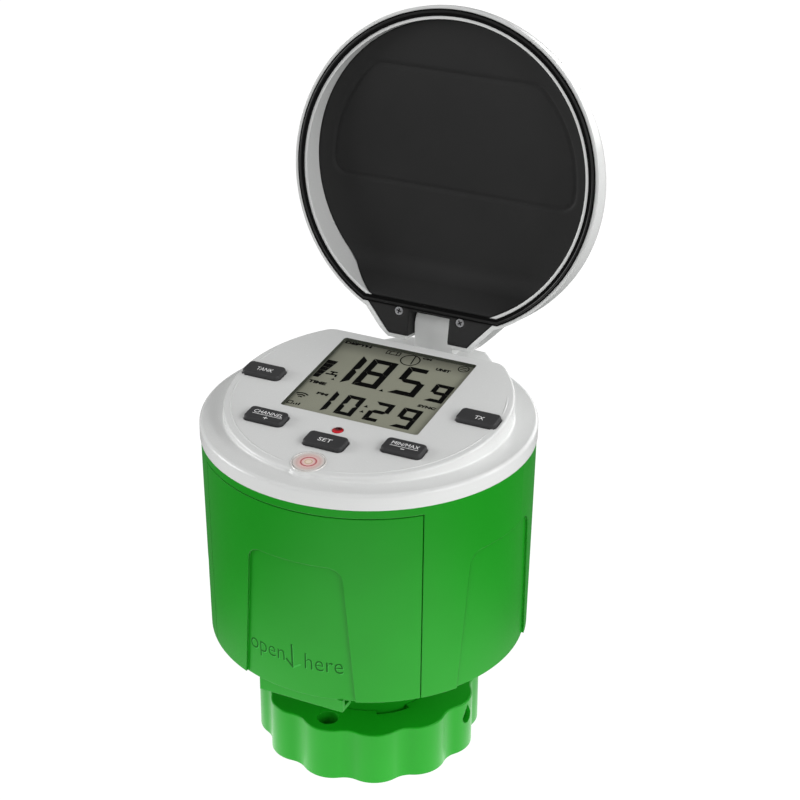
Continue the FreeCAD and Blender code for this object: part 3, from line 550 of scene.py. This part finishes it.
def coveSurface(look, turns=361, across=9):
    # the angle goes round the platform from the front, the second value sweeps a quarter circle
    # from the ledge up to the wall; the wall is the larger of the platform's and the vial bulge's
    # radius, and the curve shrinks at the ends
    turn = np.linspace(-look["half"], look["half"], turns)
    curve = look["curve"] * easeCurve((look["half"] - np.abs(turn)) / look["taper"]) + look["least"]
    a = np.radians(turn)
    under = look["bulge"] ** 2 - (look["bulgeAt"] * np.sin(a)) ** 2
    bulge = look["bulgeAt"] * np.cos(a) + np.sqrt(np.maximum(under, 0))
    bulge = np.where((under > 0) & (np.cos(a) > 0), bulge, 0)
    wall = np.maximum(look["radius"], bulge)
    sweep = np.linspace(0, quarterTurn, across)[:, None]
    reach = wall[None, :] + curve * (1 - np.sin(sweep))
    z = look["ledge"] + curve * (1 - np.cos(sweep))
    points = np.stack([reach * np.sin(a), -reach * np.cos(a), z], -1)
    return points.reshape(-1, 3), gridFaces(across, turns).tolist()


points, faces = coveSurface(platformCove)
makePiece("platformCove", points, faces, finishes["white_shell"], "gauge", True)

# a fine raised line runs round the platform's top, a little inside its edge, from the vial to the
# back on both sides, and stops for the side keys
topLine = {"radius": 45.1, "width": 0.7, "crown": 0.19, "sunk": 0.004, "from": 8.6, "to": 112.0,
           "taper": 6.0, "keyAt": 89.0, "keyHalf": 6.5}


def lineSurface(look, side, turns=161, across=7):
    # the angle runs from the vial towards the back, the second value across the line, which is a
    # low arch and thins out at both ends and at the key
    turn = np.linspace(look["from"], look["to"], turns)[None, :]
    ends = np.minimum(turn - look["from"], look["to"] - turn)
    ends = np.minimum(ends, np.abs(turn - look["keyAt"]) - look["keyHalf"])
    lean = np.linspace(-1, 1, across)[:, None]
    reach = look["radius"] + lean * look["width"] / 2
    a = np.radians(turn) * side
    w = look["crown"] * np.clip(ends / look["taper"], 0, 1) * (1 - lean ** 2) - look["sunk"]
    points = np.stack([reach * np.sin(a), -reach * np.cos(a), w], -1).reshape(-1, 3)
    faces = gridFaces(across, turns)
    return points, (faces if side < 0 else faces[:, ::-1]).tolist()


points, faces = merged([lineSurface(topLine, side) for side in (1, -1)])
makePiece("platformLine", onSlope(*points.T), faces, finishes["white_shell"], "gauge",
          True)
print("platform edges eased")

# a fine bead runs along the lid's seal, round the circle and across the chord on the hinge side
sealBead = {"radius": 53.5, "chord": 47.3, "face": 121.2, "width": 0.8, "crown": 0.2, "sunk": 0.004}


def beadSurface(look, turns=220, backSteps=42, across=7):
    # the path goes round the circle from one end of the chord to the other and straight back; the
    # second value runs across the bead, which stands out of the seal's face in a low arch
    end = math.acos(-look["chord"] / look["radius"])
    a = np.linspace(-end, end, turns)
    path = np.stack([look["radius"] * np.sin(a), -look["radius"] * np.cos(a)], -1)
    path = np.concatenate([path, np.linspace(path[-1], path[0], backSteps)[1:-1]])
    along = np.roll(path, -1, 0) - np.roll(path, 1, 0)
    along /= np.linalg.norm(along, axis=1, keepdims=True)
    side = np.stack([along[:, 1], -along[:, 0]], -1)[None]
    lean = np.linspace(-1, 1, across)[:, None, None]
    plan = path[None] + side * lean * look["width"] / 2
    z = look["face"] - look["crown"] * (1 - lean ** 2) + look["sunk"] + 0 * plan[..., :1]
    points = np.concatenate([plan, z], -1).reshape(-1, 3)
    return points, gridFaces(across, len(path), True).tolist()


points, faces = beadSurface(sealBead)
beadRubber = skinMaterial("sealBead", (30, 30, 30), (24, 24, 24), patch=60, grain=2400,
                          gloss=(0.3, 0.42), bump=0.0, shine=0.3)
makePiece("sealBead", onLid(*points.T), faces, beadRubber, "lid", True)
print("seal bead laid")

# the panel pressed into the liner lies a little sunk and has a fine groove round it; in the closed
# lid's plan it is a circle cut by two chords
linerCrease = {"radius": 45.5, "front": -34.0, "back": 8.0, "corner": 6.0, "floor": 129.796,
               "groove": 0.56, "middle": 0.1, "dive": 0.9, "rise": 1.3, "lap": 0.35, "proud": 0.012}


def creasePath(look, steps=24):
    # half the outline from the front chord to the back chord by two rounded corners and the circle
    # between them, then its mirror image; each point has the direction out of the panel beside it
    r, reach = look["corner"], look["radius"] - look["corner"]
    low, high = look["front"] + r, look["back"] - r
    lowX, highX = [math.sqrt(reach ** 2 - y ** 2) for y in (low, high)]
    lowTurn, highTurn = math.atan2(low, lowX), math.atan2(high, highX)
    middles = np.array([(lowX, low), (0, 0), (highX, high)])[:, None]
    radii = np.array([r, look["radius"], r])[:, None, None]
    starts, ends = (-quarterTurn, lowTurn, highTurn), (lowTurn, highTurn, quarterTurn)
    turn = np.linspace(starts, ends, steps, endpoint=False, axis=1)
    out = np.stack([np.cos(turn), np.sin(turn)], -1)
    bend = middles + out * radii
    share = np.linspace(0, 1, steps)[:, None]
    front = share[:-1] * (lowX, 0) + (0, look["front"])
    back = share[::-1] * (highX, 0) + (0, look["back"])
    path = np.concatenate([front, *bend, back])
    out = np.concatenate([0 * front + (0, -1), *out, 0 * back + (0, 1)])
    return [np.concatenate([p, p[-2:0:-1] * (-1, 1)]) for p in (path, out)]


def creaseSurface(look, across=19):
    # the second value runs from the panel's middle to just outside it: down into the groove and up
    # to the liner's floor, each in a smooth S, all on the slope of the lid; one flat face fills the
    # middle
    path, out = creasePath(look)
    away = np.linspace(-look["dive"] - look["rise"], look["lap"], across)[:, None, None]
    plan = path[None] + out[None] * away
    deep = look["groove"] * easeCurve(-away / look["dive"])
    climb = look["groove"] - look["middle"]
    deep = deep - climb * easeCurve((-away - look["dive"]) / look["rise"])
    z = look["floor"] + plan[..., 1:] * math.tan(slopeFace["tilt"]) + deep - look["proud"]
    points = np.concatenate([plan, z], -1).reshape(-1, 3)
    return points, [*gridFaces(across, len(path), True).tolist(), range(len(path) - 1, -1, -1)]


points, faces = creaseSurface(linerCrease)
makePiece("linerCrease", onLid(*points.T), faces, finishes["black_liner"], "lid",
          True)

# the liner's floor turns down into its back wall in a soft hollow; its corner and the wall's foot
# are (y, z) of the closed lid
linerFold = {"corner": (37.0, 133.424), "foot": (45.2, 121.5), "run": 5.0, "radius": 50.6,
             "proud": 0.01}


def foldSurface(look, across=41, steps=13):
    # the first value runs over the width of the liner's circle, the second along a quadratic curve
    # that leaves the floor and joins the wall, with the corner as its middle point
    corner, foot = np.array(look["corner"]), np.array(look["foot"])
    tilt = slopeFace["tilt"]
    start = corner - look["run"] * np.array([math.cos(tilt), math.sin(tilt)])
    end = corner + look["run"] * (foot - corner) / np.linalg.norm(foot - corner)
    s = np.linspace(0, 1, steps)[:, None]
    y, z = ((1 - s) ** 2 * start + 2 * s * (1 - s) * corner + s * s * end).T[..., None]
    lean = np.linspace(-1, 1, across)[None, :]
    x = lean * np.sqrt(look["radius"] ** 2 - y ** 2)
    points = np.stack([x, y + 0 * lean, z + 0 * lean - look["proud"]], -1)
    return points.reshape(-1, 3), gridFaces(steps, across)[:, ::-1].tolist()


points, faces = foldSurface(linerFold)
makePiece("linerFold", onLid(*points.T), faces, finishes["black_liner"], "lid", True)
print("liner crease and fold laid")

# each lid screw has a dark cross in its head, painted shade standing for the shadow in its cross
# recess; places are x, y and turn in the closed lid's plan
screwMark = {"places": [(-11.5, 49.8, 20.0), (11.5, 49.8, 55.0)], "face": 121.8, "reach": 0.95,
             "line": 0.38, "proud": 0.012}


def crossMarks(look):
    # two bars at right angles over the middle of each head, a hair out of its downward face
    places = np.array(look["places"])
    turn = np.radians(places[:, 2:] + (0, 90))
    tip = look["reach"] * np.stack([np.cos(turn), np.sin(turn)], -1)
    starts, ends = [(places[:, None, :2] + way * tip).reshape(-1, 2) for way in (-1, 1)]
    points, faces = prisms(bars(starts, ends, look["line"]), 0.0, look["proud"])
    return points * (1, 1, -1) + (0, 0, look["face"]), [face[::-1] for face in faces]


points, faces = crossMarks(screwMark)
# the dark tone of the crosses is painted shade
crossShade = skinMaterial("crossShade", (40, 40, 42), (34, 34, 36), patch=300, grain=2400,
                          gloss=(0.4, 0.5), bump=0.0, shine=0.2)
makePiece("screwMark", onLid(*points.T), faces, crossShade, "lid")
print("screw marks laid")

# legends of the keys, just proud of each key's top; two of them are underlined
legends = {
    "level": (1.58, 1.62), "line": 0.2,
    "words": {
        "mode_button": [("TANK", -38.4, -0.5, 6.0, 1.95)],
        "plus_button": [("CHANNEL", -23.9, -24.2, 10.4, 1.75), ("+", -23.6, -27.0, 1.5, 1.5)],
        "set_button": [("SET", 0.15, -31.2, 4.7, 1.9)],
        "minus_button": [("MIN/MAX", 24.9, -24.2, 9.4, 1.75), ("-", 24.9, -26.7, 1.3, 0.35)],
        "send_button": [("TX", 39.7, -0.9, 3.2, 1.9)],
    },
    "lines": {"plus_button": ((-29.1, -25.6), (-18.4, -25.6)),
              "minus_button": ((20.1, -25.7), (29.8, -25.7))},
}
legendPaint = skinMaterial("legendPaint", (248, 248, 248), (240, 240, 240), patch=300, grain=2600,
                           gloss=(0.5, 0.6), bump=0.0)
for body, words in legends["words"].items():
    shapes = wordShapes(words, *legends["level"])
    if body in legends["lines"]:
        underline = strokes([legends["lines"][body]], legends["line"])
        shapes.append(prisms(underline, *legends["level"]))
    points, faces = merged(shapes)
    makePiece("legend_" + body, onSlope(*points.T), faces, legendPaint, body)
print("key legends drawn")

# bubble vial: a face in rings of tones, a red ring, a small inner ring and a pale lip round the
# cap; rings are (radius, width), and the pin is the tiny hole in the middle of the face
vialLook = {
    "place": (0.0, -42.2), "disc": 5.0, "pin": 0.02, "level": 0.1, "faceRings": 12, "gloss": 0.3,
    "tones": [(0.0, (248, 230, 206)), (0.2, (246, 222, 208)), (0.36, (244, 206, 202)),
              (0.48, (226, 150, 148)), (0.6, (240, 202, 198)), (0.74, (220, 188, 182)),
              (1.0, (232, 228, 224))],
    "redRing": (2.42, 0.4), "innerRing": (1.15, 0.26), "ringLevel": 0.13, "ringCrown": 0.06,
    "lip": (5.4, 0.62), "lipLevel": 0.0, "lipCrown": 0.34,
}


def vialFaceMaterial(look):
    # the tone follows the distance from the vial's middle
    material, tree, shader = blankMaterial("vialFace")
    away = distanceNode(tree, (onSlope(*look["place"], look["level"]) * mm).tolist())
    share = addNode(tree, "MapRange", **{"From Max": look["disc"] * mm})
    ramp = addNode(tree, "ValToRGB")
    steps = ramp.color_ramp.elements
    # a ramp starts with two steps, so two fewer are added
    for spot, _ in look["tones"][2:]:
        steps.new(spot)
    for step, (spot, tone) in zip(steps, look["tones"]):
        step.position, step.color = spot, srgb(*tone)
    wire(tree, (away, "Value", share, "Value"), (share, "Result", ramp, "Fac"),
         (ramp, "Color", shader, "Base Color"))
    shader.inputs["Roughness"].default_value = look["gloss"]
    return material


def vialShapes(look):
    # the face is a flat band from the pin to the disc's rim; the rings and the lip are low arches
    at, disc = look["place"], look["disc"]
    ringLift, lipLift = (look["ringLevel"], look["ringCrown"]), (look["lipLevel"], look["lipCrown"])
    return {"vialFace": ringBand(at, disc / 2, disc - look["pin"], look["level"], 0.0,
                                 across=look["faceRings"]),
            "vialRedRing": ringBand(at, *look["redRing"], *ringLift),
            "vialInnerRing": ringBand(at, *look["innerRing"], *ringLift),
            "vialLip": ringBand(at, *look["lip"], *lipLift)}


vialPaints = {
    "vialFace": vialFaceMaterial(vialLook),
    "vialRedRing": skinMaterial("vialRing", (196, 66, 74), (184, 56, 64), patch=300, grain=2400,
                                gloss=(0.3, 0.4), bump=0.0),
    "vialInnerRing": skinMaterial("vialInner", (216, 186, 130), (206, 172, 118), patch=300,
                                  grain=2400, gloss=(0.3, 0.4), bump=0.0),
    "vialLip": skinMaterial("vialLip", (226, 224, 221), (206, 202, 198), patch=420, grain=2400,
                            gloss=(0.06, 0.14), bump=0.0, shine=0.7),
}
for name, (points, faces) in vialShapes(vialLook).items():
    makePiece(name, onSlope(*points.T), faces, vialPaints[name], "gauge", True)
print("vial filled")

# opening mark on the battery door: two words and an arrow, flat marks in painted shade that stand
# for shallow grooves, with a lighter copy as painted highlight on their far edge, which is shifted
# along the girth, in height and in depth
doorMark = {
    "level": (-0.12, 0.03), "thin": -0.012, "line": 0.6,
    "words": [("open", -10.9, 55.8, 14.2, 5.7), ("here", 9.95, 57.0, 12.8, 5.8)],
    "arrow": [((-1.1, 62.0), (-0.9, 53.2)), ((-3.2, 56.0), (-0.7, 53.2))],
    "highlightArrow": [((-0.7, 53.2), (2.1, 55.2))], "highlightShift": (0.3, -0.22, -0.012),
    "paintedShadeTone": ((10, 92, 16), (9, 86, 14)), "lit": ((62, 172, 68), (58, 166, 64)),
    "paint": {"patch": 60, "grain": 2600, "gloss": (0.5, 0.6), "bump": 0.0, "shine": 0.1},
}
# painted shade fills the marks, and the lighter copy paints the highlight on their far edge
grooveShadePaint = skinMaterial("paintedGrooveShade", *doorMark["paintedShadeTone"], **doorMark["paint"])
edgeHighlightPaint = skinMaterial("paintedEdgeHighlight", *doorMark["lit"], **doorMark["paint"])
shadeStrokes, highlightStroke = [prisms(strokes(doorMark[arrow], doorMark["line"]), *doorMark["level"])
                          for arrow in ("arrow", "highlightArrow")]
markWords = wordShapes(doorMark["words"], *doorMark["level"], doorMark["thin"])
points, faces = merged([*markWords, shadeStrokes])
makePiece("doorMark", onPad(*points.T), faces, grooveShadePaint, "door")
points, faces = merged([(points + doorMark["highlightShift"], faces), highlightStroke])
makePiece("doorMarkHighlight", onPad(*points.T), faces, edgeHighlightPaint, "door")
print("door mark drawn")

# the floor is lit paper: the camera sees it plain and pale, and it lifts the lower parts as a light
# table does; mirror is how much brighter its reflection is
floorLook = {"half": 4.0, "rows": 3, "tone": 0.08, "gloss": 0.9, "seen": 0.98,
             "spot": (0.05, -0.10, 0.0), "reach": (0.05, 0.2),
             "glow": {"To Min": 1.85, "To Max": 0.05}, "mirror": 1.6}


def floorMaterial(look):
    material, tree, shader = blankMaterial("floorPaper")
    away = distanceNode(tree, look["spot"])
    glow = fadeNode(tree, *look["reach"], **look["glow"])
    ray = addNode(tree, "LightPath")
    gain = addNode(tree, "MapRange", **{"To Min": 1.0, "To Max": look["mirror"]})
    lit = addNode(tree, "Math", operation="MULTIPLY")
    mix = addNode(tree, "MixRGB", Color2=grey(look["seen"]))
    wire(tree, (away, "Value", glow, "Value"), (ray, "Is Camera Ray", mix, "Fac"),
         (ray, "Is Glossy Ray", gain, "Value"), (glow, "Result", lit, 0), (gain, "Result", lit, 1),
         (lit, "Value", mix, "Color1"), (mix, "Color", shader, "Emission Color"))
    shader.inputs["Emission Strength"].default_value = 1.0
    shader.inputs["Base Color"].default_value = grey(look["tone"])
    shader.inputs["Roughness"].default_value = look["gloss"]
    return material


floorLine = np.linspace(-floorLook["half"], floorLook["half"], floorLook["rows"])
floorX, floorY = np.meshgrid(floorLine, floorLine)
floorPoints = np.stack([floorX, floorY, 0 * floorX], -1).reshape(-1, 3)
floorData = bpy.data.meshes.new("paleFloor")
floorFaces = gridFaces(floorLook["rows"], floorLook["rows"])
floorData.from_pydata(floorPoints.tolist(), [], floorFaces.tolist())
floorData.materials.append(floorMaterial(floorLook))
floor = bpy.data.objects.new("paleFloor", floorData)
shot.collection.objects.link(floor)

# the sky is dark at the horizon and bright overhead, and plain white to the camera; each panel has
# a place, a size and a power
lightLook = {
    "skyRise": (0.0, 0.5), "sky": {"To Min": 0.08, "To Max": 0.34}, "skySeen": 1.0,
    "panels": [("keyPanel", (1.2, -0.3, 0.6), 0.6, 7.0), ("frontPanel", (0.2, -1.6, 0.7), 1.0, 4.0),
               ("sparkPanel", (0.12, -1.5, 0.75), 0.16, 1.5),
               ("leftPanel", (-1.4, -0.45, 0.38), 0.8, 13.4),
               ("rimPanel", (0.45, 0.2, 0.42), 0.22, 0.85),
               ("sidePanel", (0.95, 0.36, 0.17), 0.4, 1.3),
               ("backPanel", (0.3, 1.6, 0.5), 1.0, 7.5)],
    "aim": (0.0, 0.0, 0.1),
}
world = bpy.data.worlds.new("softRoom")
world.use_nodes = True
room = world.node_tree
sky = room.nodes["Background"]
sky.inputs["Color"].default_value = white
seen = addNode(room, "Background", Color=white, Strength=lightLook["skySeen"])
choose, ray = addNode(room, "MixShader"), addNode(room, "LightPath")
way, apart = addNode(room, "TexCoord"), addNode(room, "SeparateXYZ")
rise = fadeNode(room, *lightLook["skyRise"], **lightLook["sky"])
wire(room, (way, "Generated", apart, "Vector"), (apart, "Z", rise, "Value"),
     (rise, "Result", sky, "Strength"), (ray, "Is Camera Ray", choose, "Fac"),
     (sky, "Background", choose, 1), (seen, "Background", choose, 2),
     (choose, "Shader", room.nodes["World Output"], "Surface"))
shot.world = world
for name, spot, size, power in lightLook["panels"]:
    lamp = bpy.data.lights.new(name, "AREA")
    lamp.shape, lamp.size, lamp.energy = "SQUARE", size, power
    panel = bpy.data.objects.new(name, lamp)
    panel.location = spot
    facing = Vector(lightLook["aim"]) - Vector(spot)
    panel.rotation_euler = facing.to_track_quat("-Z", "Y").to_euler()
    panel.visible_camera = False
    shot.collection.objects.link(panel)

# the camera stands to the right of the front and looks down; small turns in its own axes frame
# the part
cameraLook = {"around": 26.60, "above": 27.49, "away": 661.2, "target": 115.5, "lens": 90.54,
              "sensor": 36.0, "nearest": 0.01, "pan": -0.88, "nod": -0.77, "roll": 0.09}


def spin(degrees, i, j):
    # a turn from axis i towards axis j
    angle = math.radians(degrees)
    turn = np.eye(3)
    turn[[i, j], [i, j]] = math.cos(angle)
    turn[i, j], turn[j, i] = -math.sin(angle), math.sin(angle)
    return turn


def viewAxes(look):
    # the camera's right, up and back directions as rows, and the place where it stands
    a, e = math.radians(look["around"]), math.radians(look["above"])
    back = np.array([math.sin(a) * math.cos(e), -math.cos(a) * math.cos(e), math.sin(e)])
    right = np.array([math.cos(a), math.sin(a), 0.0])
    base = np.array([right, np.cross(back, right), back])
    eye = (back * look["away"] + np.array([0, 0, look["target"]])) * mm
    return spin(look["roll"], 0, 1) @ spin(look["nod"], 1, 2) @ spin(look["pan"], 0, 2) @ base, eye


axes, eye = viewAxes(cameraLook)
cameraData = bpy.data.cameras.new("photoView")
cameraData.lens, cameraData.sensor_width = cameraLook["lens"], cameraLook["sensor"]
cameraData.clip_start = cameraLook["nearest"]
camera = bpy.data.objects.new("photoView", cameraData)
turned = Matrix(axes.T.tolist()).to_4x4()
turned.translation = Vector(eye.tolist())
camera.matrix_world = turned
shot.collection.objects.link(camera)
shot.camera = camera
shot.view_settings.view_transform = "Standard"
print("floor, light and camera placed")
